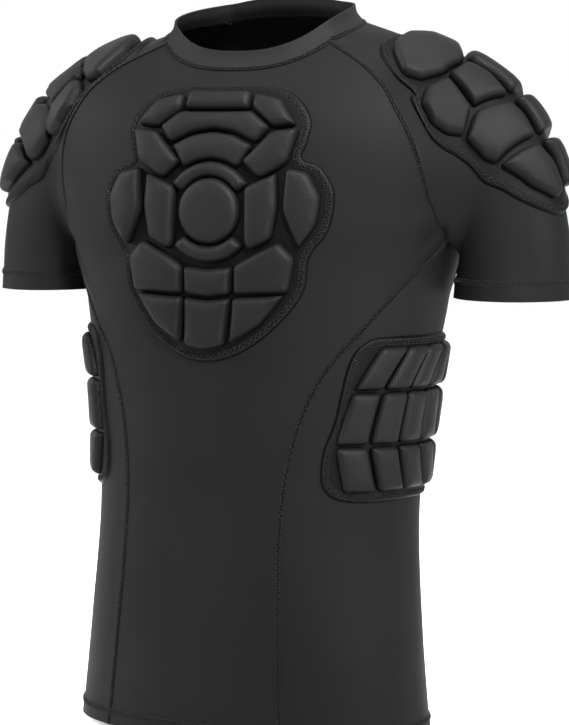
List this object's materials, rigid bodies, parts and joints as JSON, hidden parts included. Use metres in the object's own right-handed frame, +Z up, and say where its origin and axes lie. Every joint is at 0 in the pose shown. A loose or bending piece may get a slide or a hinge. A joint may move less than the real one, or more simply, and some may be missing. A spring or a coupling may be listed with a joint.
{
  "type": "padded compression shirt",
  "caption": "Short-sleeved compression shirt, worn shape with no wearer, with raglan sleeves, crew neck and raised foam pads over chest, shoulders and ribs.",
  "frame": {"origin": "middle of the shoulders, level with the front corners of the neck opening, where the wearer's shoulders hold the shirt up", "axes": "+Z up, front of the shirt toward -Y, wearer's left toward +X"},
  "size_m": [0.6068, 0.2877, 0.7042],
  "materials": {
    "stretch_cloth": "smooth matt stretch knit, faint sheen",
    "neck_band": "folded stretch knit band",
    "pad_cover": "moulded foam under fine knit, soft sheen"
  },
  "bodies": {
    "root": {"front_body": "stretch_cloth", "back_body": "stretch_cloth", "side_panel_left": "stretch_cloth", "side_panel_right": "stretch_cloth", "sleeve_left": "stretch_cloth", "sleeve_right": "stretch_cloth", "collar": "neck_band", "chest_pad": "pad_cover", "shoulder_pad_left": "pad_cover", "shoulder_pad_right": "pad_cover", "rib_pad_left": "pad_cover", "rib_pad_right": "pad_cover"}
  },
  "joints": []
}
